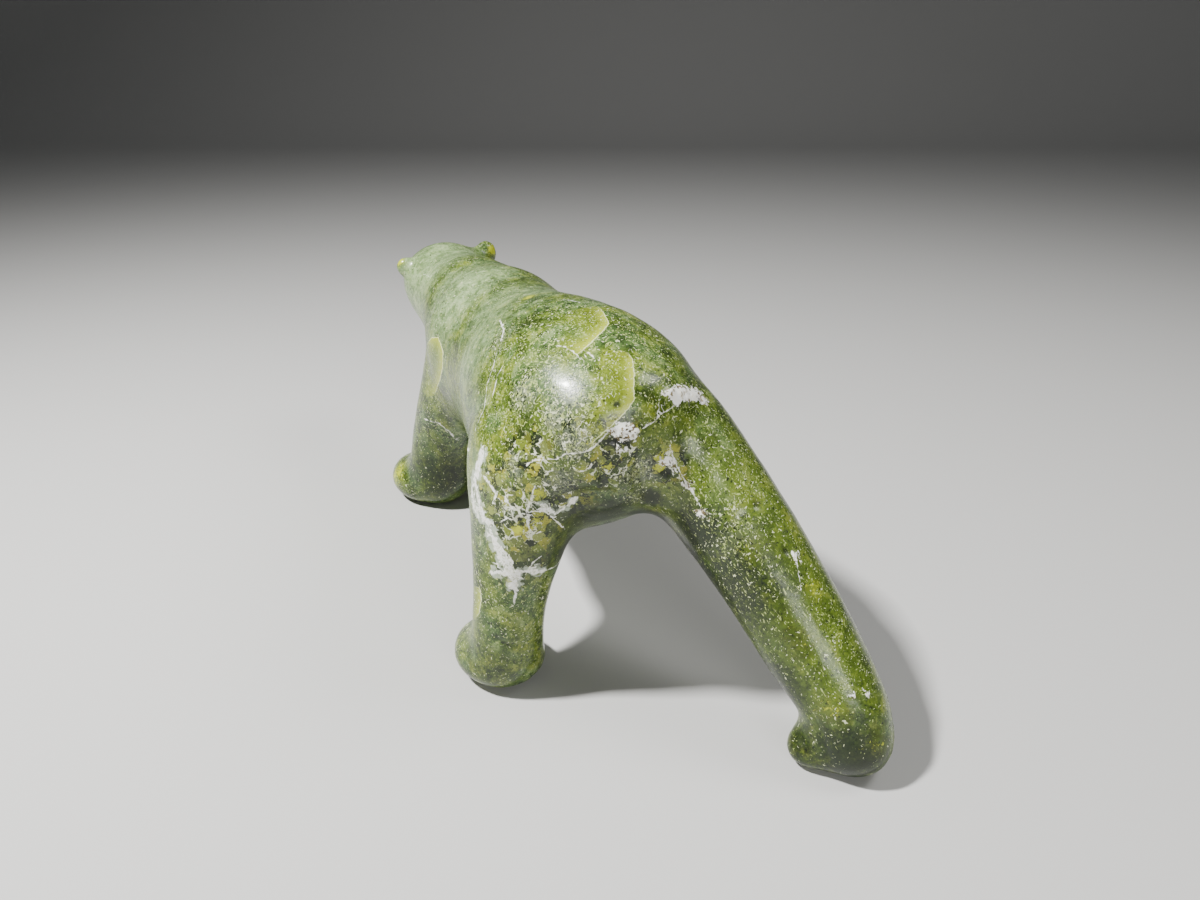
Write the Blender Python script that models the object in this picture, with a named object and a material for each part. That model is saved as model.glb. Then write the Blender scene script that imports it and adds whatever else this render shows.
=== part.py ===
"""A walking bear carved from one piece of green serpentine.

The bear walks along +X with its left side towards +Y and stands on its four soles at z = 0, with
the middle of its footprint at the origin. The carving is built the way clay is: lofted masses for
the trunk, the head and the legs are merged, the hollows where they meet are filled, and the soles
are ground flat. The driving size is the height of the back. The pose and the proportions are
percentages of it, measured along from the heel of the left hind leg.
"""

import math

import bmesh
import bpy
import numpy as np
from mathutils import Matrix, Vector

# Driving sizes, in metres
BACK_HEIGHT = 0.120  # ground to the hips, and the measure of every percentage below
LIMB_FILLET = 0.006  # radius of the hollows between the trunk and the legs
DETAIL_FILLET = 0.0012  # radius of the hollows round the ears and between the hams

TRIANGLES = 9000
PERCENT = BACK_HEIGHT / 100
VOXEL = 1.25 * PERCENT
FINE_VOXEL = 0.8 * PERCENT
SMOOTH_PASSES = 6
RING_POINTS = 32
SPAN_STEPS = 5
BELLY_FULLNESS = 0.8  # below 1 makes the lower half of the trunk squarer than an ellipse

# Trunk, neck and head from the rump to the nose, all in percent of the back height:
# along, sideways, height of the axis, half width, half depth above and below the axis
TRUNK = (
    (-20, 0.5, 75, 5, 5, 5),
    (-15, 0.5, 74, 18, 16, 16),
    (0, 0.5, 72, 26.5, 25, 27),
    (15, 0.5, 69, 28.5, 30.2, 32.5),
    (35, 0.5, 68, 27.5, 29.6, 32),
    (55, 0, 67.5, 24.5, 27, 30),
    (72, -1, 67.5, 23.5, 26, 31),
    (88, -1, 68, 24.5, 26, 32),
    (100, -1, 68.5, 22.8, 24, 32),
    (115, 0, 72, 18, 20.5, 26),
    (130, 0, 74, 16.5, 16, 19),
    (145, 0, 76, 17, 15, 16),
    (155, 0, 76, 15.5, 13, 15.5),
    (163, 0, 74.5, 12.3, 10.8, 14.2),
    (171, 0, 72.5, 9.8, 8.8, 12.5),
    (178, 0, 71, 8.4, 7.8, 11),
    (182, 0, 70, 6, 5.8, 8),
    (183.5, 0, 69.5, 2.5, 2, 3),
)

# Legs from inside the trunk to the ankle, in percent of the back height:
# along, sideways, height, half width, half depth fore and aft
REAR_LEFT = (
    (13, 14, 77, 12.5, 20),
    (10, 20, 64, 13.8, 21),
    (7, 23, 47, 12.6, 16),
    (5, 26.2, 34, 10.6, 11.5),
    (4, 28.2, 23, 9.6, 10),
    (5, 29, 9, 10, 10),
)
REAR_RIGHT = (
    (11.5, -10, 77, 13, 21),
    (-1, -14.8, 69.5, 14.3, 20),
    (-15, -21, 56.5, 14, 16.5),
    (-30, -26.3, 43, 12.9, 13.5),
    (-44, -31.4, 28, 12.1, 12),
    (-55.5, -35.4, 15, 10.4, 10.2),
    (-59, -36, 8, 9.8, 10),
)
FRONT_LEFT = (
    (96, 8.5, 74, 11, 19),
    (101, 10, 56, 12, 18),
    (108, 12, 40, 12.5, 14.5),
    (114, 14, 24, 12.5, 13),
    (115, 16.5, 9, 12.5, 12.5),
)
FRONT_RIGHT = (
    (94, -9, 74, 11, 19),
    (96, -11, 56, 12, 18),
    (98, -13.5, 40, 12.5, 14.5),
    (97, -16, 24, 12.5, 13),
    (96, -18, 9, 12.5, 12.5),
)
LEGS = (REAR_LEFT, REAR_RIGHT, FRONT_LEFT, FRONT_RIGHT)

# Rounded lumps, in percent of the back height: centre, radii fore and aft, sideways and up, and
# how far the lump is turned to the left, in degrees
PAWS = (
    ((10.5, 29.4, 6.2), (14.5, 12.7, 7.6), 8),
    ((-58, -35.6, 8), (11.4, 10.4, 9.6), 0),
    ((115.5, 16.8, 8.8), (11.5, 11.8, 9.6), 0),
    ((124, 21, 6.8), (16.5, 12.5, 8.1), 0),
    ((96, -18, 8.8), (11.5, 11.8, 9.6), 0),
    ((103, -20, 6.8), (16.5, 12.5, 8.1), 0),
)
DETAILS = (
    ((146, 15.4, 83.2), (2.6, 4.2, 4), 0),
    ((146, -15.6, 85.4), (3, 4.5, 5.3), 0),
    ((-54.5, -30.5, 4.2), (7.5, 9.2, 5.2), 0),
    ((-7, -1.5, 62), (6, 5.5, 11), 0),
)


def spline(rows, steps):
    """Points on a Catmull-Rom curve through the rows."""
    rows = np.array(rows, float)
    padded = np.vstack([2 * rows[0] - rows[1], rows, 2 * rows[-1] - rows[-2]])
    points = []
    for i in range(len(rows) - 1):
        before, start, end, after = padded[i : i + 4]
        for t in np.linspace(0, 1, steps, endpoint=False):
            linear = (end - before) * t
            square = (2 * before - 5 * start + 4 * end - after) * t**2
            cube = (3 * start - before - 3 * end + after) * t**3
            points.append(0.5 * (2 * start + linear + square + cube))
    points.append(rows[-1])
    return np.array(points)


def loft(rings):
    """A closed shell over rings of equally many points."""
    shell = bmesh.new()
    loops = [[shell.verts.new(point) for point in ring] for ring in rings]
    for low, high in zip(loops, loops[1:]):
        for i in range(len(low)):
            j = (i + 1) % len(low)
            shell.faces.new((low[i], low[j], high[j], high[i]))
    shell.faces.new(loops[0][::-1])
    shell.faces.new(loops[-1])
    bmesh.ops.recalc_face_normals(shell, faces=shell.faces)
    return shell


def ring_angles():
    return np.arange(RING_POINTS) * 2 * math.pi / RING_POINTS


def trunk():
    """Upright rings along the body, elliptical above and fuller below."""
    rings = []
    for along, side, height, half_width, above, below in spline(TRUNK, SPAN_STEPS):
        ring = []
        for angle in ring_angles():
            across, up = math.cos(angle), math.sin(angle)
            if up < 0:
                across = math.copysign(abs(across) ** BELLY_FULLNESS, across)
            depth = above if up > 0 else below
            ring.append(Vector((along, side + half_width * across, height + depth * up)) * PERCENT)
        rings.append(ring)
    return loft(rings)


def leg(stations):
    """Elliptical rings square to the leg's own axis."""
    rows = spline(stations, SPAN_STEPS)
    tangents = np.gradient(rows[:, :3], axis=0)
    rings = []
    for (along, side, height, half_width, half_depth), tangent in zip(rows, tangents):
        down = Vector(tangent).normalized()
        across = Vector((1, 0, 0)).cross(down).normalized()
        fore = down.cross(across)
        centre = Vector((along, side, height))
        ring = []
        for angle in ring_angles():
            reach = across * half_width * math.cos(angle) + fore * half_depth * math.sin(angle)
            ring.append((centre + reach) * PERCENT)
        rings.append(ring)
    return loft(rings)


def lump(centre, radii, heading):
    """An ellipsoid turned about the vertical."""
    shell = bmesh.new()
    place = (
        Matrix.Translation(Vector(centre) * PERCENT)
        @ Matrix.Rotation(math.radians(heading), 4, "Z")
        @ Matrix.Diagonal((*(Vector(radii) * PERCENT), 1))
    )
    bmesh.ops.create_uvsphere(shell, u_segments=32, v_segments=20, radius=1, matrix=place)
    return shell


def joined(shells, start=None):
    """One mesh of all the shells, which still pass through each other."""
    whole = bmesh.new()
    if start:
        whole.from_mesh(start)
    for shell in shells:
        mass = bpy.data.meshes.new("mass")
        shell.to_mesh(mass)
        shell.free()
        whole.from_mesh(mass)
        bpy.data.meshes.remove(mass)
    mesh = bpy.data.meshes.new("masses")
    whole.to_mesh(mesh)
    whole.free()
    return mesh


def add_remesh(obj, voxel):
    remesh = obj.modifiers.new("Remesh", "REMESH")
    remesh.mode = "VOXEL"
    remesh.voxel_size = voxel
    remesh.adaptivity = 0


def add_offset(obj, distance):
    offset = obj.modifiers.new("Offset", "DISPLACE")
    offset.strength = distance
    offset.mid_level = 0


def add_smooth(obj, passes):
    smooth = obj.modifiers.new("Smooth", "SMOOTH")
    smooth.factor = 0.5
    smooth.iterations = passes


def add_decimate(obj, ratio):
    decimate = obj.modifiers.new("Decimate", "DECIMATE")
    decimate.ratio = ratio
    decimate.use_collapse_triangulate = True


def worked(mesh, steps):
    """The mesh after the modifiers that the steps add, each step a function and its value."""
    obj = bpy.data.objects.new("blank", mesh)
    bpy.context.collection.objects.link(obj)
    for add, value in steps:
        add(obj, value)
    graph = bpy.context.evaluated_depsgraph_get()
    result = bpy.data.meshes.new_from_object(obj.evaluated_get(graph))
    bpy.data.objects.remove(obj)
    return result


def fill_hollows(mesh, radius, voxel):
    """Swells the stone by the radius and takes it back, which leaves a fillet in each hollow."""
    steps = (
        (add_remesh, voxel),
        (add_offset, radius),
        (add_remesh, voxel),
        (add_offset, -radius),
        (add_remesh, voxel),
    )
    return worked(mesh, steps)


def stand_on_soles(mesh):
    """Grinds the underside flat and puts the middle of the footprint at the origin."""
    points = np.empty(len(mesh.vertices) * 3, np.float32)
    mesh.vertices.foreach_get("co", points)
    points = points.reshape(-1, 3)
    low, high = points.min(axis=0), points.max(axis=0)
    points[:, :2] -= (low[:2] + high[:2]) / 2
    points[:, 2] = np.maximum(points[:, 2], 0)
    mesh.vertices.foreach_set("co", points.ravel())
    mesh.update()


def serpentine():
    stone = bpy.data.materials.new("polished green serpentine")
    stone.use_nodes = True
    shader = stone.node_tree.nodes["Principled BSDF"]
    shader.inputs["Base Color"].default_value = (0.115, 0.165, 0.045, 1)
    shader.inputs["Roughness"].default_value = 0.3
    shader.inputs["Metallic"].default_value = 0
    return stone


def bear():
    masses = [trunk()]
    masses += [leg(stations) for stations in LEGS]
    masses += [lump(*paw) for paw in PAWS]
    body = fill_hollows(joined(masses), LIMB_FILLET, VOXEL)
    details = [lump(*detail) for detail in DETAILS]
    carved = fill_hollows(joined(details, body), DETAIL_FILLET, FINE_VOXEL)
    smooth = worked(carved, [(add_smooth, SMOOTH_PASSES)])
    smooth.calc_loop_triangles()
    ratio = TRIANGLES / len(smooth.loop_triangles)
    mesh = worked(smooth, [(add_decimate, ratio)])
    stand_on_soles(mesh)
    mesh.name = "bear"
    mesh.materials.clear()
    mesh.materials.append(serpentine())
    mesh.shade_smooth()
    obj = bpy.data.objects.new("bear", mesh)
    bpy.context.collection.objects.link(obj)


def main():
    for obj in list(bpy.data.objects):
        bpy.data.objects.remove(obj)
    bear()


main()
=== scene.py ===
"""The finish of a walking bear carved from one piece of green serpentine.

Lengths are in metres unless a name or a comment says millimetres. A mark in the stone has a place,
which is the pixel of a 1200 x 900 picture where it shows, and is put on the carving along the
camera's sight line. Places that the picture doesn't show are three coordinates in millimetres.
"""

import math

import bpy
import numpy as np
from mathutils import Matrix, Vector, noise
from mathutils.bvhtree import BVHTree

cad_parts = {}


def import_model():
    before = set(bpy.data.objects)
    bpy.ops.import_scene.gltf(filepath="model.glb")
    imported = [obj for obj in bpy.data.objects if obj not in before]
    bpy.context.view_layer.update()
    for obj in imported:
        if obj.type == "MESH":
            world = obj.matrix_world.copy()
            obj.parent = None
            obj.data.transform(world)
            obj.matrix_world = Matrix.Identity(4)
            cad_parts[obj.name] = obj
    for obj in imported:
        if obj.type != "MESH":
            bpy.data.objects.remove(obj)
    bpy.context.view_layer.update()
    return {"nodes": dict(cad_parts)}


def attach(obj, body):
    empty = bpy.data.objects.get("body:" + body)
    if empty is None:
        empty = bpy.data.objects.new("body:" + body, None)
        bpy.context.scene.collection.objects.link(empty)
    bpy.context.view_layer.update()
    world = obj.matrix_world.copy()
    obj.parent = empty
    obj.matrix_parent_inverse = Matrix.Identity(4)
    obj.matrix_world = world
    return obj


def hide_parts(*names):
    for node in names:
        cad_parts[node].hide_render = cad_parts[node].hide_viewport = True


MM = 0.001

# The camera, a short phone lens held over the bear's left hind quarter
EYE = Vector((-0.28265, 0.10643, 0.190))
PITCH = math.radians(25)  # down from level
HEADING = math.radians(-25)  # to the right of the way the bear walks
PICTURE = (1200, 900)
FOCAL_PIXELS = 866
SENSOR_MM = 36
NEAREST_SEEN = 0.01

# The skin of the stone
WELD_GAP = 0.01 * MM  # corners of the solid's loose triangles that lie closer are one corner
SKIN_VOXEL = 1.0 * MM  # fine enough for the relief, and just under 200,000 triangles in all
RELAX_PASSES = 60
RELAX_PULL = 0.5  # how far each pass draws a point towards its neighbours
SOLE_MM = 3  # the relief fades away over this height, so that the soles stay flat

# The ears keep their shape while the facets are rubbed away: centre and radius. The pull is weakest
# out to KEEN_CORE of the radius, and grows to the full pull over a further KEEN_FADE of it
KEEN_FORMS = (
    ((0.1066, 0.0209, 0.0998), 0.008),
    ((0.1066, -0.0163, 0.1025), 0.009),
)
KEEN_CORE = 0.6
KEEN_FADE = 0.8
KEEN_PULL = 0.05  # the weakest pull, as a share of the full one

# How marks are put on the skin
SEARCH_PIXELS = 30  # how far round a pixel that just misses the carving the next one is sought
SEARCH_TURNS = 16  # and in how many directions
OUTLINE_REACH = 30 * MM  # no part of an outlined mark is further from its middle
FADE_MM = 6.0  # no vein, crust or lens edge is measured further off than this
VEIN_REACH_MM = 1.5  # how far past its edge a vein still keeps its width
LENS_TAPER_MM = 3.0  # how far from its ends a lens edge takes to show in full
CLOUD_CORE = 1 / 3  # a cloud is at full strength out to this share of its radius
CLOUD_END = 5 / 3  # and has faded away at this share
TINY = 1e-12  # keeps a divisor off zero

# White veins: half width in millimetres, then the places that each one runs through
WHITE_VEINS = (
    (0.16, ((526, 466), (532, 461), (544, 459), (556, 459), (565, 454), (577, 453), (588, 451), (597, 444),
            (609, 431))),
    (0.18, ((642, 429), (649, 424), (655, 421), (661, 414), (668, 410), (674, 406))),
    (0.16, ((657, 414), (659, 408), (658, 403), (661, 398))),
    (0.18, ((670, 445), (673, 456), (678, 467), (682, 476), (689, 486), (700, 505))),
    (1.10, ((484, 446), (480, 466), (475, 478), (472, 494), (474, 505), (479, 515), (487, 521))),
    (1.30, ((487, 521), (491, 533), (498, 547), (504, 562), (509, 572))),
    (0.30, ((484, 476), (490, 484), (496, 494), (493, 503))),
    (0.75, ((491, 572), (500, 572), (511, 575), (522, 571), (534, 571), (545, 570))),
    (0.18, ((545, 570), (554, 567), (562, 560))),
    (1.05, ((511, 575), (515, 583), (515, 592))),
    (0.20, ((515, 592), (514, 604))),
    (0.60, ((538, 503), (548, 508), (556, 514), (561, 510), (568, 506), (576, 501))),
    (0.16, ((553, 518), (558, 523), (565, 529))),
    (0.18, ((500, 522), (511, 516), (522, 514), (534, 511), (545, 511), (553, 517))),
    (0.24, ((535, 486), (531, 499), (527, 511), (528, 527), (534, 533), (543, 531))),
    (0.30, ((505, 497), (512, 508), (516, 515))),
    (0.20, ((573, 468), (581, 472), (590, 468), (592, 463))),
    (0.24, ((425, 419), (439, 423), (450, 432), (457, 441), (469, 450))),
    (0.10, ((498, 350), (494, 366), (487, 387), (484, 409), (475, 430))),
    (0.10, ((503, 367), (498, 375), (496, 384), (492, 398))),
    (0.18, ((500, 320), (504, 330), (501, 341))),
    (0.08, ((555, 346), (565, 347), (574, 352), (581, 360))),
    (0.08, ((584, 350), (590, 355), (596, 360))),
    (0.12, ((562, 300), (572, 301), (581, 303))),
    (0.16, ((795, 557), (799, 575), (801, 590))),
    (0.60, ((477, 462), (476, 480), (478, 498), (484, 514))),
    (0.22, ((497, 548), (507, 553), (513, 562), (512, 572))),
    (0.20, ((527, 571), (533, 562), (541, 556))),
    (0.40, ((-64, -30, 100), (-48, -36, 86), (-36, -38, 74), (-22, -37, 60), (-10, -34, 48))),
    (0.18, ((-36, -38, 74), (-20, -38, 76), (-6, -38, 70), (6, -38, 72))),
    (0.22, ((30, -30, 92), (42, -33, 80), (48, -33, 66), (58, -32, 52), (60, -32, 38))),
    (0.16, ((48, -33, 66), (62, -32, 68), (74, -28, 62))),
    (0.50, ((86, 16, 62), (92, 12, 50), (88, 14, 40), (92, 20, 30))),
    (0.18, ((92, 12, 50), (94, -6, 56), (88, -20, 58))),
    (0.20, ((118, -14, 92), (126, -14, 84), (132, -12, 80))),
    (0.25, ((-128, -52, 40), (-118, -50, 48), (-108, -48, 52), (-98, -46, 62))),
)

# Chalky crusts, outlined in pixels
CRUSTS = (
    ((662, 394), (671, 387), (684, 387), (698, 391), (707, 400), (707, 405), (694, 401), (684, 401),
     (676, 406), (671, 400)),
    ((608, 432), (613, 427), (622, 424), (634, 423), (639, 431), (636, 438), (627, 441), (616, 438)),
    ((617, 446), (622, 444), (625, 449), (621, 453), (616, 451)),
    ((658, 458), (668, 456), (674, 461), (678, 472), (674, 474), (670, 466), (660, 465)),
    ((682, 480), (689, 482), (691, 491), (685, 489)),
    ((694, 510), (703, 509), (709, 511), (708, 516), (697, 515)),
    ((851, 694), (855, 693), (856, 697), (852, 698)),
    ((864, 691), (868, 692), (868, 696), (865, 697)),
    ((792, 552), (798, 552), (799, 560), (794, 560)),
)

# Yellow-green lenses. Each one starts at a crisp pale edge and fades away behind it: how far the
# fade reaches in millimetres, the edge's pixels, then corners that close the outline far behind
LENSES = (
    (3.2, ((597, 306), (603, 312), (609, 323), (603, 331), (594, 340), (585, 348), (576, 356)),
     ((555, 340), (560, 312))),
    (4.0, ((626, 352), (632, 358), (634, 372), (634, 388), (634, 400), (628, 409), (618, 420), (606, 430),
      (594, 441), (585, 446)),
     ((560, 440), (570, 370), (600, 350))),
    (4.0, ((426, 346), (431, 338), (438, 337), (443, 351), (443, 366), (440, 380), (434, 396)),
     ((395, 400), (395, 345))),
    (1.6, ((571, 466), (576, 471), (581, 472), (590, 468), (593, 461)),
     ((588, 450), (574, 450))),
    (2.5, ((474, 586), (480, 588), (481, 600), (479, 612), (475, 620)),
     ((455, 612), (455, 590))),
)

# Soft clouds of colour: place, radius in millimetres, strength
GOLD_CLOUDS = (
    (517, 528, 2.6, 1.0),
    (533, 524, 3.5, 0.7),
    (539, 494, 3.0, 0.7),
    (508, 436, 8, 0.45),
    (492, 500, 4, 0.4),
    (440, 395, 9, 0.45),
    (396, 474, 8, 0.7),
    (399, 261, 2.5, 1.0),
    (493, 250, 3.0, 1.0),
    (529, 297, 3, 0.8),
    (606, 466, 3.5, 0.6),
    (619, 478, 4, 0.5),
    (658, 456, 3.5, 0.7),
    (659, 469, 2, 0.8),
    (590, 440, 2.5, 0.7),
    (650, 412, 4, 0.5),
    (749, 549, 7, 0.45),
    (800, 635, 9, 0.4),
    (815, 590, 4, 0.6),
    (832, 712, 6, 0.5),
    (878, 745, 6, 0.5),
    (800, 738, 6, 0.3),
    (600, 375, 12, 0.2),
    (-20, -38, 70, 9, 0.8),
    (44, -34, 60, 8, 0.8),
    (96, 8, 62, 8, 0.6),
    (60, -32, 22, 9, 0.7),
    (142, 6, 84, 5, 0.6),
    (-110, -50, 44, 8, 0.5),
)
# Painted shade: darkening where shade falls, in the hollow between the hams, under the belly, behind the
# left fore leg, on the inner side and foot of the stretched hind leg, by the left hind heel and in the
# pits
PAINTED_SHADE_CLOUDS = (
    (445, 480, 14, 0.8),
    (600, 515, 12, 0.9),
    (652, 500, 4, 1.0),
    (580, 490, 5, 0.6),
    (720, 570, 9, 0.7),
    (745, 620, 10, 0.6),
    (700, 525, 8, 0.6),
    (775, 680, 9, 0.6),
    (617, 404, 1.1, 1.0),
    (524, 466, 1.4, 1.0),
    (520, 520, 0.9, 1.0),
    (613, 441, 2.0, 0.9),
    (629, 442, 1.6, 0.9),
    (666, 474, 1.6, 1.0),
    (757, 505, 1.3, 0.8),
    (743, 516, 1.1, 0.7),
    (787, 551, 1.3, 0.8),
    (850, 750, 12, 0.8),
    (560, 545, 8, 0.5),
    (545, 560, 5, 0.6),
    (505, 560, 2, 0.6),
    (800, 745, 9, 0.8),
    (735, 590, 18, 0.8),
    (700, 535, 10, 0.9),
    (848, 760, 12, 1.0),
    (775, 690, 12, 0.8),
    (790, 640, 8, 0.6),
    (490, 672, 14, 0.5),
    (430, 470, 12, 0.7),
    (640, 512, 7, 0.9),
    (662, 522, 8, 1.0),
    (682, 556, 8, 1.0),
    (700, 590, 9, 1.0),
    (572, 548, 7, 0.9),
    (615, 508, 6, 1.0),
    (0, 0, 40, 24, 0.8),
    (70, -2, 30, 14, 0.8),
    (-60, -10, 50, 14, 0.6),
)
# Grey and black speckle with a web of white
GREY_CLOUDS = (
    (575, 441, 5.0, 1.0),
    (572, 402, 7.0, 0.6),
    (524, 395, 4.5, 0.9),
    (556, 418, 4.5, 0.9),
    (516, 466, 4.0, 0.8),
    (563, 483, 5.0, 0.8),
    (641, 475, 6.0, 0.9),
    (635, 498, 4.0, 0.9),
    (725, 540, 9.0, 0.6),
    (745, 580, 8.0, 0.5),
    (505, 510, 3.0, 0.6),
    (501, 340, 6.0, 0.5),
    (440, 300, 9.0, 0.4),
    (72, -30, 66, 8, 0.8),
    (-12, -36, 56, 7, 0.8),
    (94, 2, 48, 7, 0.8),
    (-52, -36, 90, 6, 0.7),
)
PALE_CLOUDS = (
    (430, 262, 26, 1.0),
    (410, 300, 15, 1.0),
    (455, 290, 22, 0.9),
    (478, 340, 20, 0.65),
    (500, 300, 22, 0.6),
    (440, 370, 14, 0.4),
    (128, 0, 96, 24, 0.8),
    (100, 0, 70, 20, 0.4),
    (482, 478, 8, 0.7),
    (512, 570, 7, 0.65),
)
# Where the stone is a coarse patchwork of colours and is pitted instead of polished smooth
CRUMBLY_CLOUDS = (
    (618, 440, 6, 1.0),
    (575, 440, 8, 0.7),
    (530, 460, 10, 0.8),
    (520, 520, 12, 0.9),
    (555, 500, 10, 0.9),
    (615, 470, 9, 0.9),
    (665, 465, 6, 1.0),
    (515, 570, 8, 0.7),
    (490, 480, 9, 0.6),
    (26, -34, 52, 12, 0.8),
    (92, -8, 44, 8, 0.8),
    (-30, -36, 64, 10, 0.7),
)
# Where short pale dashes lie along the stretched hind leg
DASH_CLOUDS = (
    (690, 440, 16, 0.6),
    (720, 500, 22, 1.0),
    (770, 590, 24, 1.0),
    (820, 680, 22, 0.8),
)
# Where pale flecks and fibres crowd the green
FLECK_CLOUDS = (
    (540, 380, 26, 0.9),
    (600, 340, 24, 0.7),
    (560, 440, 22, 1.0),
    (520, 500, 22, 0.9),
    (690, 430, 18, 0.4),
    (715, 530, 12, 0.7),
    (480, 350, 18, 0.5),
    (510, 600, 14, 0.4),
    (-50, -36, 86, 28, 0.8),
    (30, -36, 72, 30, 0.8),
    (96, 0, 56, 24, 0.7),
    (-120, -48, 40, 22, 0.4),
    (140, 0, 84, 16, 0.4),
)
CLOUDS = {
    "gold": GOLD_CLOUDS,
    "painted_shade": PAINTED_SHADE_CLOUDS,
    "grey": GREY_CLOUDS,
    "pale": PALE_CLOUDS,
    "fleck": FLECK_CLOUDS,
    "crumbly": CRUMBLY_CLOUDS,
    "dash": DASH_CLOUDS,
}

# Carved and broken hollows: depth and half width in millimetres, then the places they run through
HOLLOWS = (
    (1.8, 3.4, ((641, 470), (645, 484), (648, 496))),
    (1.8, 3.6, ((583, 499), (594, 496), (606, 500))),
    (1.0, 1.2, ((600, 470), (604, 484), (612, 496))),
    (0.7, 1.1, ((497, 640), (508, 645), (525, 645), (540, 640))),
    (0.5, 1.0, ((812, 715), (822, 735), (828, 757))),
)
# Small pits: pixel, radius and depth in millimetres
PITS = (
    (666, 473, 1.3, 1.2),
    (613, 441, 1.0, 0.7),
    (629, 442, 0.8, 0.6),
    (622, 435, 0.5, 0.5),
    (757, 505, 1.2, 0.7),
    (743, 516, 1.0, 0.5),
    (787, 551, 1.0, 0.5),
    (524, 466, 0.9, 0.6),
    (520, 520, 0.7, 0.6),
    (617, 404, 0.7, 0.25),
    (596, 470, 0.9, 0.5),
    (634, 478, 0.8, 0.5),
    (552, 500, 0.9, 0.5),
)

# The plain face, which the picture doesn't show, in millimetres. Its left side is given and is
# mirrored to the right. Eye and nostril: place, radius, depth, and the radius of the painted shade in it
FACE_PITS = (
    ((128.5, 12.5, 98.5), 1.4, 1.5, 1.5),
    ((150, 3.4, 87), 1.4, 1.2, 1.2),
)
# The line of the mouth: depth and half width, then the places it runs through
MOUTH = (1.0, 0.9, ((152, 0.5, 80), (147, 7, 79.5), (140, 10.5, 79), (131, 14, 80)))

# Uneven surfaces: the size of their lumps in millimetres, octaves, a shift that sets each one apart
# from the others, and their height. It is in millimetres for the waves and ripples, and a share of
# what they are laid on for the crumbs and for the swelling of the veins
WAVES = (14, 2, 0.0, 0.18)
RIPPLES = (4, 2, 7.0, 0.06)
CRUMBS = (1.9, 3, 21.0, 1.0)
VEIN_SWELLS = (2.0, 3, 3.0, 1.1)
OCTAVE_LOSS = 1.0  # how quickly the finer octaves weaken
OCTAVE_STEP = 2.0  # how many times finer each octave is

# The relief of the marks in millimetres
PATCHWORK_CRUMBS = 0.42
CRUST_EDGE = 0.5  # a crust starts to rise this far outside its outline
CRUST_HEIGHT = 0.35
CRUST_CRUMBS = 0.45
VEIN_EDGE = 0.6  # a vein starts to rise this far outside its edge
VEIN_HEIGHT = 0.12

# The stone's colours. Each ramp: the signal that runs through it, then (place, colour) stops
RAMPS = {
    "greens": ("tone", ((0.40, "#2b3a0e"), (0.44, "#3e5017"), (0.48, "#4e611d"), (0.52, "#5f7123"),
                        (0.57, "#7f8a34"))),
    "bluish greens": ("tone", ((0.40, "#293a19"), (0.44, "#3a5026"), (0.48, "#496131"), (0.52, "#5a713b"),
                               (0.57, "#798c58"))),
    "pale greens": ("tone", ((0.40, "#62784a"), (0.44, "#738a5a"), (0.48, "#829868"), (0.52, "#90a475"),
                             (0.57, "#a1b285"))),
    "patchwork": ("cells", ((0.20, "#141e08"), (0.34, "#3c4e14"), (0.44, "#6f7d22"), (0.53, "#a2a02e"),
                            (0.58, "#2f3d15"), (0.68, "#858f42"), (0.78, "#202b0a"))),
    "calcite": ("grain", ((0.34, "#bcc1a8"), (0.41, "#e6e6d4"), (0.48, "#f7f5ea"), (0.60, "#fdfcf8"))),
    "chalk": ("granules", ((0.32, "#fdfdf8"), (0.40, "#f0ecda"), (0.46, "#8f7f58"), (0.56, "#2e2618"),
                           (0.63, "#f8f6ec"))),
}

# The spaces that the patterns lie in, beside the carving's own
ASKEW_SHIFT_MM = (31, 17, 53)
ASKEW_TURN = (0.7, 0.4, 1.1)
LEG_TURN = (0, math.radians(-44.5), math.radians(19.7))  # turns +X to the stretched hind leg's axis
LEG_STRETCH = (3.2, 1, 1)  # the dashes are this many times longer than they are wide

# The patterns of the stone: the space each one lies in, its size in millimetres, its detail and
# roughness, how far it is twisted, and whether it makes lumps or lines. The grain of serpentine is
# finer than a pixel of the picture, so the grain and the dashes are as coarse as they need to show
PATTERNS = {
    "cloud": ("even", 24, 3, 0.55, 0.6, "FBM"),
    "drift": ("askew", 14, 2, 0.5, 0.4, "FBM"),
    "mottle": ("even", 4.5, 4, 0.6, 0.5, "FBM"),
    "grain": ("even", 0.8, 2, 0.6, 0.5, "FBM"),
    "ragged": ("askew", 1.5, 4, 0.65, 0.3, "FBM"),
    "breaks": ("askew", 1.0, 1, 0.5, 0.0, "FBM"),
    "dashes": ("leg", 0.5, 1, 0.5, 0.2, "FBM"),
    "curl lines": ("even", 1.9, 0, 0.5, 1.2, "RIDGED_MULTIFRACTAL"),
    "fibre lines": ("askew", 1.5, 0, 0.5, 0.8, "RIDGED_MULTIFRACTAL"),
    "hair lines": ("askew", 15, 1, 0.4, 0.5, "RIDGED_MULTIFRACTAL"),
}

# The patterns of cells: width of a cell in millimetres, what is read from it and the node's output
CELL_MM = 2.6
CELL_PATTERNS = {
    "cells": (CELL_MM, "F1", "Color"),
    "cell edge": (CELL_MM, "DISTANCE_TO_EDGE", "Distance"),
    "granules": (0.85, "F1", "Color"),
}
# The cells are stirred by noise, so that none is straight: its scale, its detail and how far it
# pushes in millimetres
CELL_STIR = (0.7, 2, 2.2)

# The fields that the skin carries for its material
FIELDS = ("vein_side", "vein_width", "crust", "lens_edge", "lens", *CLOUDS)
# The signal that the greens run through from dark to light
TONE = (("mottle", 0.44), ("cloud", 0.22), ("grain", 0.24), ("cells", 0.06))
# How far off the wandering centre line of a vein or a lens edge is: terms and a start
CENTRE_LINES = {
    "off vein": ((("vein_side", 1.0), ("ragged", 1.2)), -0.6),
    "off lens edge": ((("lens_edge", 1.0), ("ragged", 1.0)), -0.5),
}
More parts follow.
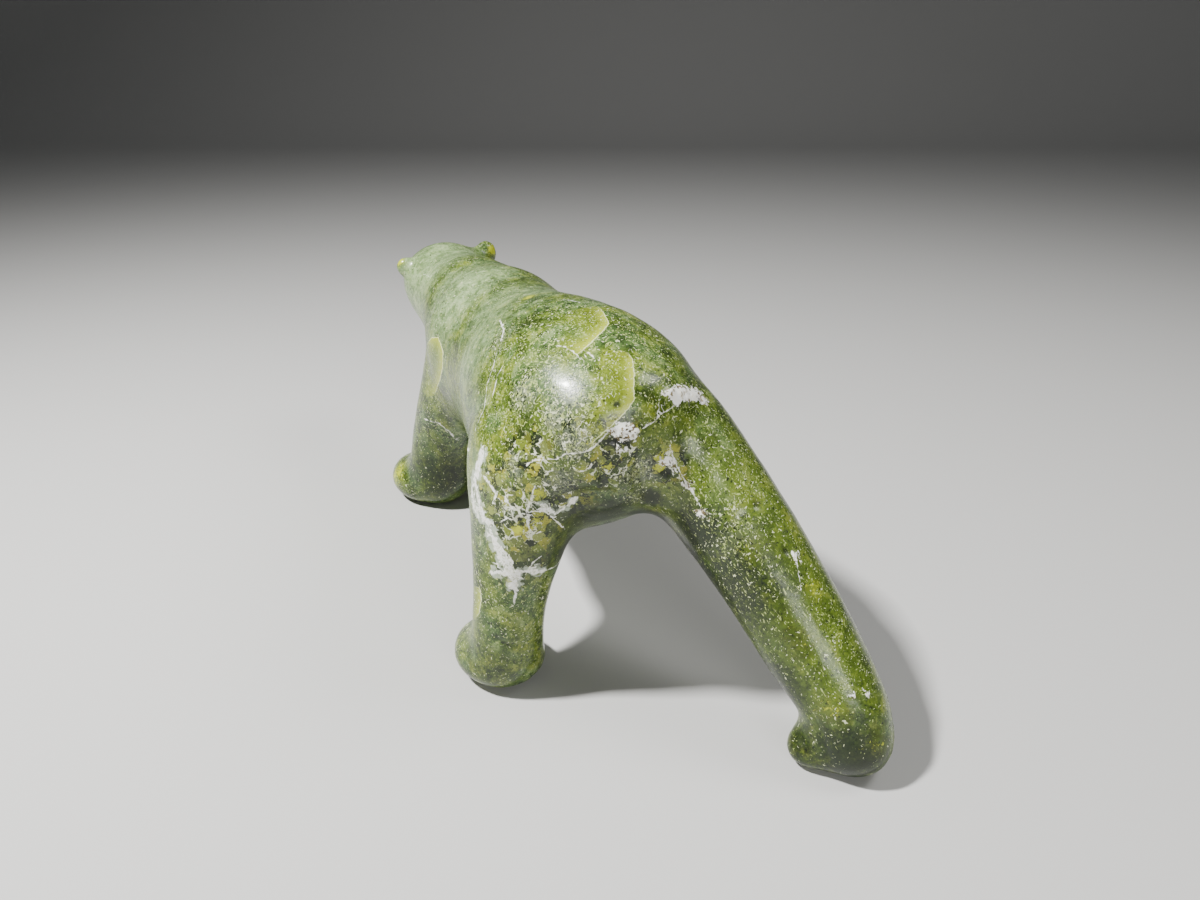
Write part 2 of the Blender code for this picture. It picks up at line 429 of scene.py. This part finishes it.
# The signal that frays a vein's edges, weakened in a vein that is too thin to bear it
FRAY = (("ragged", 1.0), ("mottle", -1.0))
FRAY_PER_MM = 0.5  # it is at its full strength where the vein's half width is 2 mm

# The layers of colour from the ground up: a colour or a ramp, the signals that are added up with
# their weights, the sums where the layer starts and is full, and its strength there, which may be
# a signal. A layer's cover is a signal for the layers after it.
LAYERS = (
    ("bluish", "bluish greens", (("drift", 1.0), ("dash", -0.12)), 0.46, 0.60, 1.0),
    ("olive", "#53651f", (("dash", 1.0),), 0.2, 1.1, 0.6),
    ("milky", "pale greens", (("pale", 1.3), ("ragged", 1.0)), 0.75, 1.60, 0.95),
    ("sunny", "#85912a", (("gold", 1.0), ("ragged", 1.2)), 0.80, 1.45, 0.75),
    ("lens body", "#8f9c22", (("lens_edge", 1.0),), -0.1, 0.15, "lens"),
    ("lens glow", "#a9b238", (("lens_edge", 1.0),), 3.4, 0.0, "lens body"),
    ("patches", "patchwork", (("crumbly", 1.0), ("ragged", 1.5)), 0.95, 1.35, 0.95),
    ("ashen", "#6c7460", (("grey", 1.0), ("ragged", 2.0)), 1.20, 1.90, 0.75),
    # Painted shade: the darkest green, laid where the painted shade clouds are; the fleck layers below are
    # held back there too
    ("shaded", "#141e0a", (("painted_shade", 1.0), ("ragged", 1.2)), 0.70, 1.55, 0.94),
    ("seams", "#0f1707", (("cell edge", 1.0), ("crumbly", -0.2), ("mottle", -0.8)), -0.50, -0.57, 0.9),
    ("specks", "#10170a", (("grain", 1.0), ("grey", -0.09), ("crumbly", 0.01), ("lens", 0.08),
                           ("pale", 0.02)), 0.372, 0.335, 0.85),
    ("dashed", "#b2bd78", (("dashes", 1.0), ("dash", 0.14)), 0.80, 0.85, 0.75),
    ("curls", "#a8b56c", (("curl lines", 1.0), ("breaks", 1.3), ("fleck", 0.11), ("grey", 0.10),
                          ("crumbly", -0.10), ("pale", -0.05), ("painted_shade", -0.2)), 1.68, 1.74, 0.9),
    ("fibres", "#cdd2a8", (("fibre lines", 1.0), ("breaks", -1.3), ("fleck", 0.03), ("grey", 0.17),
                           ("crumbly", -0.08), ("pale", -0.05), ("painted_shade", -0.12)), 0.40, 0.46, 0.9),
    ("threads", "#e4e6cc", (("cell edge", 1.0), ("crumbly", -0.2), ("mottle", 0.8), ("painted_shade", 0.1)),
     0.265, 0.205, 0.9),
    ("golden", "#b3ba24", (("gold", 1.0), ("ragged", 1.5), ("cells", 0.3)), 1.50, 1.70, 0.9),
    ("hairs", "#c3caa2", (("hair lines", 1.0), ("breaks", 0.25)), 1.50, 1.56, 0.5),
    ("rim", "#e3e7ac", (("off lens edge", 1.0),), 0.17, 0.05, "lens"),
    ("haze", "#b9c4ae", (("vein_width", 2.0), ("off vein", -0.5), ("ragged", 2.0)), 1.4, 2.2, 0.75),
    ("vein", "calcite", (("off vein", 1.0), ("vein_width", -1.0), ("breaks", -0.6), ("fray", 11.0)),
     -0.18, -0.38, 0.95),
    ("crusted", "chalk", (("crust", 1.0), ("ragged", 5.0), ("breaks", 2.5)), 3.95, 3.60, 1.0),
)

# The polish: waxed stone's shine, its roughness, what dulls it, and the finest relief in it
SHINE = {"IOR": 1.5, "Specular IOR Level": 0.38, "Coat Weight": 0.15, "Coat Roughness": 0.1}
POLISH = 0.22
DULLNESS = (("mottle", 0.10), ("crumbly", 0.10), ("vein", 0.12), ("crusted", 0.35), ("shaded", 0.1))
FINE_RELIEF = (("grain", 1.0), ("curls", 0.15), ("specks", -0.3), ("crusted", 1.2), ("granules", 0.2))
FINE_RELIEF_HEIGHT = 0.1 * MM
FINE_RELIEF_STRENGTH = 0.5

# The studio: a floor that bends up into a wall far behind the bear, and soft lights
FLOOR_START = -1.6
FLOOR_END = 1.6
FLOOR_HALF_WIDTH = 3.0
WALL_BEND = 0.8
WALL_TOP = 1.8
BEND_STEPS = 12
PAPER = ("#c0bfbc", 0.9)  # colour and roughness
SKY = ("#dfe3e6", 0.10)  # colour and brightness
RUMP = (-0.078, 0.021, 0.107)
SHIN = (-0.130, -0.030, 0.045)
# Each light: its name, place, what it is turned to, the width and height of its panel, and watts
LIGHTS = (
    ("key", (0.042, 0.413, 0.674), RUMP, (0.06, 0.06), 15.5),
    ("fill", (-0.25, -0.45, 0.70), RUMP, (0.30, 0.30), 3.0),
    ("streak", (-0.69, 0.01, 0.26), SHIN, (0.30, 0.18), 1.7),
)


def sight_axes():
    """The camera's own directions: ahead, to the right and up."""
    level = math.cos(PITCH)
    ahead = Vector((level * math.cos(HEADING), level * math.sin(HEADING), -math.sin(PITCH)))
    right = ahead.cross(Vector((0, 0, 1))).normalized()
    return ahead, right, right.cross(ahead)


def sight_line(pixel):
    """The direction from the camera through a pixel."""
    ahead, right, up = sight_axes()
    across = (pixel[0] - PICTURE[0] / 2) / FOCAL_PIXELS
    down = (pixel[1] - PICTURE[1] / 2) / FOCAL_PIXELS
    return (ahead + across * right - down * up).normalized()


def pixels_of(points):
    """Where points of the row frame fall in the picture, and how far ahead they are."""
    ahead, right, up = (np.array(axis) for axis in sight_axes())
    away = points - np.array(EYE)
    depth = away @ ahead
    across = PICTURE[0] / 2 + FOCAL_PIXELS * (away @ right) / depth
    down = PICTURE[1] / 2 - FOCAL_PIXELS * (away @ up) / depth
    return np.stack([across, down], axis=1), depth


def on_stone(stone, place):
    """The point of the carving that a pixel shows, or the next pixel where that one just misses.
    Three coordinates in millimetres give the nearest point of the carving."""
    if len(place) == 3:
        return np.array(stone.find_nearest(Vector(place) * MM)[0])
    across, down = place
    point = stone.ray_cast(EYE, sight_line(place))[0]
    for radius in range(1, SEARCH_PIXELS):
        for turn in np.linspace(0, 2 * math.pi, SEARCH_TURNS, endpoint=False):
            if point is None:
                beside = (across + radius * math.cos(turn), down + radius * math.sin(turn))
                point = stone.ray_cast(EYE, sight_line(beside))[0]
    return np.array(point)


def numbers_of(items, name, kind, width):
    """A property of all the items as an array, with one row for each."""
    values = np.empty(len(items) * width, kind)
    items.foreach_get(name, values)
    return values.reshape(-1, width)


def relaxed(values, edges, pull):
    """The values of the skin's points after passes that draw each one towards the mean of its
    neighbours. The array itself is changed."""
    count = len(values)
    first, second = edges[:, 0], edges[:, 1]
    degree = np.bincount(first, minlength=count) + np.bincount(second, minlength=count)
    for _ in range(RELAX_PASSES):
        for column in range(values.shape[1]):
            near = values[:, column]
            total = np.bincount(first, near[second], count) + np.bincount(second, near[first], count)
            values[:, column] = near + pull * (total / degree - near)
    return values


def fine_skin(node):
    """An even fine mesh over the faceted solid, its facets rubbed away and its girth kept."""
    source = node.data.copy()
    blank = bpy.data.objects.new("blank", source)
    bpy.context.collection.objects.link(blank)
    weld = blank.modifiers.new("Weld", "WELD")
    weld.merge_threshold = WELD_GAP
    remesh = blank.modifiers.new("Remesh", "REMESH")
    remesh.mode = "VOXEL"
    remesh.voxel_size = SKIN_VOXEL
    remesh.adaptivity = 0
    graph = bpy.context.evaluated_depsgraph_get()
    mesh = bpy.data.meshes.new_from_object(blank.evaluated_get(graph))
    bpy.data.objects.remove(blank)
    points = numbers_of(mesh.vertices, "co", np.float32, 3).astype(float)
    edges = numbers_of(mesh.edges, "vertices", np.int32, 2)
    pull = np.full(len(points), RELAX_PULL)
    for centre, radius in KEEN_FORMS:
        away = np.linalg.norm(points - np.array(centre), axis=1)
        pull *= np.clip((away / radius - KEEN_CORE) / KEEN_FADE, KEEN_PULL, 1)
    smooth = relaxed(points.copy(), edges, pull)
    shape(mesh, smooth)
    normals = numbers_of(mesh.vertex_normals, "vector", np.float32, 3)
    lost = ((points - smooth) * normals).sum(axis=1, keepdims=True)
    smooth += relaxed(lost, edges, pull) * normals
    shape(mesh, smooth)
    return mesh


def shape(mesh, points):
    """Moves the mesh's vertices to the points, with none below the ground."""
    points[:, 2] = np.maximum(points[:, 2], 0)
    mesh.vertices.foreach_set("co", points.astype(np.float32).ravel())
    mesh.update()


def stone_tree(mesh):
    """The skin in the form that sight lines and nearest points are found on."""
    vertices = [vertex.co.copy() for vertex in mesh.vertices]
    faces = [tuple(face.vertices) for face in mesh.polygons]
    return BVHTree.FromPolygons(vertices, faces)


def off_line(points, path):
    """Distance of each point from a path through places in space."""
    nearest = np.full(len(points), np.inf)
    for start, end in zip(path, path[1:]):
        run = end - start
        share = np.clip((points - start) @ run / max(run @ run, TINY), 0, 1)
        gap = np.linalg.norm(points - start - share[:, None] * run, axis=1)
        nearest = np.minimum(nearest, gap)
    return nearest


def off_outline(points, corners):
    """Signed distance of flat points from a closed outline, below zero inside it."""
    corners = np.array(corners, float)
    following = np.roll(corners, -1, axis=0)
    nearest = np.full(len(points), np.inf)
    inside = np.zeros(len(points), bool)
    for start, end in zip(corners, following):
        run = end - start
        share = np.clip((points - start) @ run / (run @ run), 0, 1)
        nearest = np.minimum(nearest, np.linalg.norm(points - start - share[:, None] * run, axis=1))
        crosses = (start[1] > points[:, 1]) != (end[1] > points[:, 1])
        rise = end[1] - start[1] if end[1] != start[1] else TINY
        inside ^= crosses & (points[:, 0] < start[0] + (points[:, 1] - start[1]) * run[0] / rise)
    return np.where(inside, -nearest, nearest)


def veins_fields(points, normals, stone):
    """Signed distance in millimetres across the nearest vein, and the vein's half width there,
    which falls below zero where no vein is near."""
    side = np.full(len(points), FADE_MM)
    width = np.full(len(points), -FADE_MM)
    nearest = np.full(len(points), FADE_MM)
    swell = 1 + uneven_surface(points, *VEIN_SWELLS)
    for half_width, places in WHITE_VEINS:
        path = [on_stone(stone, place) for place in places]
        for start, end in zip(path, path[1:]):
            length = np.linalg.norm(end - start)
            run = (end - start) / length
            along = (points - start) @ run
            share = np.clip(along, 0, length)
            away = points - start - share[:, None] * run
            gap = np.linalg.norm(away, axis=1) / MM
            past_end = np.abs(along - share) / MM
            turn = np.where((away * np.cross(normals, run)).sum(axis=1) < 0, -1, 1)
            off_edge = gap - half_width
            closer = off_edge < nearest
            nearest = np.where(closer, off_edge, nearest)
            side = np.where(closer, gap * turn, side)
            faded = half_width * swell - np.clip(off_edge - VEIN_REACH_MM, 0, None) - past_end
            width = np.where(closer, np.maximum(faded, -FADE_MM), width)
    return side, width


def near_outline(points, normals, stone, corners):
    """The points of the skin that may lie in an outline of the picture, where they fall in it and
    the size of a pixel there in millimetres."""
    flat, depth = pixels_of(points)
    facing = ((np.array(EYE) - points) * normals).sum(axis=1) > 0
    middle = np.mean([on_stone(stone, corner) for corner in corners], axis=0)
    near = facing & (np.linalg.norm(points - middle, axis=1) < OUTLINE_REACH)
    return near, flat[near], depth[near] / FOCAL_PIXELS / MM


def crusts_field(points, normals, stone):
    """Signed distance in millimetres from the edges of the crusts, below zero inside them."""
    field = np.full(len(points), FADE_MM)
    for corners in CRUSTS:
        near, flat, pixel_mm = near_outline(points, normals, stone, corners)
        field[near] = np.minimum(field[near], off_outline(flat, corners) * pixel_mm)
    return field


def lenses_fields(points, normals, stone):
    """Signed distance in millimetres from the crisp edges of the lenses, above zero inside, and how
    strongly the lens shows, which fades away from the edge and towards the edge's ends."""
    edge_field = np.full(len(points), -FADE_MM)
    strength_field = np.zeros(len(points))
    for reach, edge, far_corners in LENSES:
        near, flat, pixel_mm = near_outline(points, normals, stone, edge)
        corners = np.array(edge, float)
        off_edge = off_line(flat, corners) * pixel_mm
        off_ends = [np.linalg.norm(flat - corner, axis=1) for corner in (corners[0], corners[-1])]
        off_ends = np.minimum(*off_ends) * pixel_mm
        inside = off_outline(flat, edge + far_corners) < 0
        path = [on_stone(stone, corner) for corner in edge]
        along_stone = off_line(points[near], path) / MM
        strength = np.exp(-along_stone / reach) * np.clip(off_ends / LENS_TAPER_MM, 0, 1)
        stronger = strength > strength_field[near]
        strength_field[near] = np.where(stronger, strength, strength_field[near])
        signed = np.clip(np.where(inside, off_edge, -off_edge), -FADE_MM, FADE_MM)
        edge_field[near] = np.where(stronger, signed, edge_field[near])
    return edge_field, strength_field


def clouds_field(points, stone, clouds):
    """How strongly the strongest cloud shows at each point."""
    field = np.zeros(len(points))
    for *place, radius, strength in clouds:
        middle = on_stone(stone, place)
        away = np.linalg.norm(points - middle, axis=1) / (radius * MM)
        fade = (CLOUD_END - away) / (CLOUD_END - CLOUD_CORE)
        field = np.maximum(field, strength * np.clip(fade, 0, 1))
    return field


def uneven_surface(points, lump_mm, octaves, shift, height):
    """Smooth noise at each point, of about the height up and down."""
    step = 1 / (lump_mm * MM)
    apart = Vector((shift, shift, shift))
    values = [noise.fractal(Vector(point) * step + apart, OCTAVE_LOSS, OCTAVE_STEP, octaves)
              for point in points]
    return height * np.array(values)


def dent(points, centre, radius_mm, depth_mm):
    """The depth of a round dent at each point, in millimetres."""
    away = np.linalg.norm(points - centre, axis=1) / (radius_mm * MM)
    return depth_mm * np.exp(-(away**2))


def groove(points, path, half_width_mm, depth_mm):
    """The depth of a rounded groove along a path at each point, in millimetres."""
    away = off_line(points, path) / (half_width_mm * MM)
    return depth_mm * np.exp(-(away**2))


def both_sides(place):
    """A place on the left side of the face, and its mirror image on the right."""
    along, out, height = place
    return (along, out, height), (along, -out, height)


def carved_relief(points, stone, fields):
    """How far each point of the skin stands out, in millimetres."""
    relief = uneven_surface(points, *WAVES) + uneven_surface(points, *RIPPLES)
    crumbs = uneven_surface(points, *CRUMBS)
    relief += fields["crumbly"] * PATCHWORK_CRUMBS * crumbs
    crust = np.clip(CRUST_EDGE - fields["crust"], 0, 1)
    relief += crust * (CRUST_HEIGHT + CRUST_CRUMBS * crumbs)
    inside_vein = fields["vein_width"] - np.abs(fields["vein_side"])
    relief += VEIN_HEIGHT * np.clip(inside_vein + VEIN_EDGE, 0, 1)
    for depth, half_width, places in HOLLOWS:
        path = [on_stone(stone, place) for place in places]
        relief -= groove(points, path, half_width, depth)
    for *place, radius, depth in PITS:
        relief -= dent(points, on_stone(stone, place), radius, depth)
    for pit, radius, depth, _ in FACE_PITS:
        for place in both_sides(pit):
            relief -= dent(points, on_stone(stone, place), radius, depth)
    depth, half_width, mouth = MOUTH
    for places in zip(*map(both_sides, mouth)):
        path = [on_stone(stone, place) for place in places]
        relief -= groove(points, path, half_width, depth)
    return relief


def stone_fields(points, normals, stone):
    """Where each kind of mark lies on the skin, by name."""
    vein_side, vein_width = veins_fields(points, normals, stone)
    lens_edge, lens = lenses_fields(points, normals, stone)
    fields = {
        "vein_side": vein_side,
        "vein_width": vein_width,
        "crust": crusts_field(points, normals, stone),
        "lens_edge": lens_edge,
        "lens": lens,
    }
    for name, clouds in CLOUDS.items():
        fields[name] = clouds_field(points, stone, clouds)
    # Painted shade in the eye and nostril pits
    shadows = []
    for pit, _, _, shade_radius in FACE_PITS:
        shadows += [(*place, shade_radius, 1.0) for place in both_sides(pit)]
    fields["painted_shade"] = np.maximum(fields["painted_shade"], clouds_field(points, stone, shadows))
    return fields


def dressed_stone(node):
    """The carving with its relief, and the fields that its stone is coloured by."""
    mesh = fine_skin(node)
    points = numbers_of(mesh.vertices, "co", np.float32, 3).astype(float)
    normals = numbers_of(mesh.vertex_normals, "vector", np.float32, 3).astype(float)
    stone = stone_tree(mesh)
    fields = stone_fields(points, normals, stone)
    lift = carved_relief(points, stone, fields) * np.clip(points[:, 2] / (SOLE_MM * MM), 0, 1)
    points += normals * (lift * MM)[:, None]
    shape(mesh, points)
    for name, values in fields.items():
        attribute = mesh.attributes.new(name, "FLOAT", "POINT")
        attribute.data.foreach_set("value", values.astype(np.float32))
    mesh.shade_smooth()
    piece = bpy.data.objects.new("bear_stone", mesh)
    bpy.context.collection.objects.link(piece)
    return piece


def tint(code):
    """A screen colour as the linear colour that shaders take."""
    channels = [int(code[i : i + 2], 16) / 255 for i in (1, 3, 5)]
    linear = [c / 12.92 if c <= 0.04045 else ((c + 0.055) / 1.055) ** 2.4 for c in channels]
    return (*linear, 1.0)


def add(tree, kind, inputs=None, **settings):
    """A new node with its settings, its inputs given as values or as links."""
    node = tree.nodes.new(kind)
    for name, value in settings.items():
        setattr(node, name, value)
    for socket, value in (inputs or {}).items():
        if isinstance(value, bpy.types.NodeSocket):
            tree.links.new(value, node.inputs[socket])
        else:
            node.inputs[socket].default_value = value
    return node


def added_up(tree, signals, terms, start=0.0):
    """The signals added up with their weights, from a starting value."""
    total = start
    for name, weight in terms:
        term = {0: signals[name], 1: weight, 2: total}
        total = add(tree, "ShaderNodeMath", term, operation="MULTIPLY_ADD").outputs[0]
    return total


def stone_signals(tree):
    """Everything that the stone's colour and gloss are made from, by name."""
    place = add(tree, "ShaderNodeTexCoord").outputs["Object"]
    in_mm = {"Vector": place, "Scale": (1 / MM, 1 / MM, 1 / MM)}
    even = add(tree, "ShaderNodeMapping", in_mm).outputs[0]
    turned = {"Vector": even, "Location": ASKEW_SHIFT_MM, "Rotation": ASKEW_TURN}
    askew = add(tree, "ShaderNodeMapping", turned).outputs[0]
    stretched = {"Vector": even, "Rotation": LEG_TURN, "Scale": LEG_STRETCH}
    leg = add(tree, "ShaderNodeMapping", stretched, vector_type="TEXTURE").outputs[0]
    spaces = {"even": even, "askew": askew, "leg": leg}
    signals = {}
    for name in FIELDS:
        signals[name] = add(tree, "ShaderNodeAttribute", attribute_name=name).outputs["Fac"]
    for name, (space, size_mm, detail, roughness, twist, kind) in PATTERNS.items():
        values = {"Vector": spaces[space], "Scale": 1 / size_mm, "Detail": detail,
                  "Roughness": roughness, "Distortion": twist}
        if kind == "RIDGED_MULTIFRACTAL":
            values["Offset"] = 1.0
        signals[name] = add(tree, "ShaderNodeTexNoise", values, noise_type=kind).outputs[0]
    scale, detail, push_mm = CELL_STIR
    stir = add(tree, "ShaderNodeTexNoise", {"Vector": even, "Scale": scale, "Detail": detail})
    pushed = {0: stir.outputs["Color"], 1: (push_mm, push_mm, push_mm), 2: even}
    stirred = add(tree, "ShaderNodeVectorMath", pushed, operation="MULTIPLY_ADD").outputs[0]
    for name, (size_mm, feature, output) in CELL_PATTERNS.items():
        values = {"Vector": stirred, "Scale": 1 / size_mm}
        cells = add(tree, "ShaderNodeTexVoronoi", values, feature=feature)
        signals[name] = cells.outputs[output]
    widened = {0: signals["vein_width"], 1: FRAY_PER_MM}
    girth = add(tree, "ShaderNodeMath", widened, operation="MULTIPLY", use_clamp=True).outputs[0]
    frayed = {0: added_up(tree, signals, FRAY), 1: girth}
    signals["fray"] = add(tree, "ShaderNodeMath", frayed, operation="MULTIPLY").outputs[0]
    signals["tone"] = added_up(tree, signals, TONE)
    for name, (terms, start) in CENTRE_LINES.items():
        total = added_up(tree, signals, terms, start)
        signals[name] = add(tree, "ShaderNodeMath", {0: total}, operation="ABSOLUTE").outputs[0]
    return signals


def polished_serpentine():
    """Serpentine, hand polished with wax: a satin gloss over cloudy olive green, crossed by dull white
    calcite veins, crowded with pale curled fibres and dark iron specks."""
    stone = bpy.data.materials.new("hand polished serpentine")
    stone.use_nodes = True
    tree = stone.node_tree
    shader = tree.nodes["Principled BSDF"]
    signals = stone_signals(tree)
    paints = {}
    for name, (signal, stops) in RAMPS.items():
        ramp = add(tree, "ShaderNodeValToRGB", {0: signals[signal]})
        elements = ramp.color_ramp.elements
        while len(elements) < len(stops):
            elements.new(0.5)
        for element, (position, code) in zip(elements, stops):
            element.position = position
            element.color = tint(code)
        paints[name] = ramp.outputs[0]
    colour = paints["greens"]
    for name, paint, terms, start, full, strength in LAYERS:
        total = added_up(tree, signals, terms)
        fade = {0: total, 1: start, 2: full, 4: signals.get(strength, strength)}
        cover = add(tree, "ShaderNodeMapRange", fade, interpolation_type="SMOOTHSTEP").outputs[0]
        signals[name] = cover
        laid = {0: cover, 6: colour, 7: paints[paint] if paint in paints else tint(paint)}
        colour = add(tree, "ShaderNodeMix", laid, data_type="RGBA").outputs[2]
    tree.links.new(colour, shader.inputs["Base Color"])
    tree.links.new(added_up(tree, signals, DULLNESS, POLISH), shader.inputs["Roughness"])
    for socket, value in SHINE.items():
        shader.inputs[socket].default_value = value
    relief = {"Strength": FINE_RELIEF_STRENGTH, "Distance": FINE_RELIEF_HEIGHT,
              "Height": added_up(tree, signals, FINE_RELIEF)}
    tree.links.new(add(tree, "ShaderNodeBump", relief).outputs[0], shader.inputs["Normal"])
    return stone


def studio_paper():
    """Pale matt background paper, which shows soft shadows and no gloss."""
    paper = bpy.data.materials.new("pale paper")
    paper.use_nodes = True
    shader = paper.node_tree.nodes["Principled BSDF"]
    code, roughness = PAPER
    shader.inputs["Base Color"].default_value = tint(code)
    shader.inputs["Roughness"].default_value = roughness
    return paper


def swept_floor():
    """A pale floor that curves up into a wall far behind the bear."""
    profile = [(FLOOR_START, 0.0)]
    for step in range(BEND_STEPS + 1):
        turn = math.radians(90 * step / BEND_STEPS)
        profile.append((FLOOR_END + WALL_BEND * math.sin(turn), WALL_BEND * (1 - math.cos(turn))))
    profile.append((FLOOR_END + WALL_BEND, WALL_TOP))
    ahead = Vector((math.cos(HEADING), math.sin(HEADING), 0))
    aside = Vector((-ahead.y, ahead.x, 0))
    vertices = []
    for forward, up in profile:
        for side in (-FLOOR_HALF_WIDTH, FLOOR_HALF_WIDTH):
            vertices.append(ahead * forward + aside * side + Vector((0, 0, up)))
    faces = [(2 * i, 2 * i + 2, 2 * i + 3, 2 * i + 1) for i in range(len(profile) - 1)]
    mesh = bpy.data.meshes.new("floor")
    mesh.from_pydata(vertices, [], faces)
    mesh.shade_smooth()
    mesh.materials.append(studio_paper())
    floor = bpy.data.objects.new("floor", mesh)
    bpy.context.collection.objects.link(floor)


def soft_light(name, place, target, size, watts):
    """A lit panel turned to its target."""
    light = bpy.data.lights.new(name, "AREA")
    light.shape = "RECTANGLE"
    light.size, light.size_y = size
    light.energy = watts
    lamp = bpy.data.objects.new(name, light)
    lamp.location = place
    lamp.rotation_euler = (Vector(target) - Vector(place)).to_track_quat("-Z", "Y").to_euler()
    bpy.context.collection.objects.link(lamp)


def studio():
    swept_floor()
    for light in LIGHTS:
        soft_light(*light)
    world = bpy.data.worlds.new("studio")
    world.use_nodes = True
    sky = world.node_tree.nodes["Background"]
    code, brightness = SKY
    sky.inputs["Color"].default_value = tint(code)
    sky.inputs["Strength"].default_value = brightness
    bpy.context.scene.world = world


def camera():
    """The camera that sees the bear as the picture does."""
    ahead, right, up = sight_axes()
    lens = bpy.data.cameras.new("camera")
    lens.sensor_width = SENSOR_MM
    lens.lens = SENSOR_MM * FOCAL_PIXELS / PICTURE[0]
    lens.clip_start = NEAREST_SEEN
    watcher = bpy.data.objects.new("camera", lens)
    turn = Matrix((right, up, -ahead)).transposed().to_4x4()
    watcher.matrix_world = Matrix.Translation(EYE) @ turn
    bpy.context.collection.objects.link(watcher)
    bpy.context.scene.camera = watcher


def main():
    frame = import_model()
    camera()
    studio()
    bear = dressed_stone(frame["nodes"]["bear"])
    bear.data.materials.clear()
    bear.data.materials.append(polished_serpentine())
    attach(bear, "root")
    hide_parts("bear")


main()
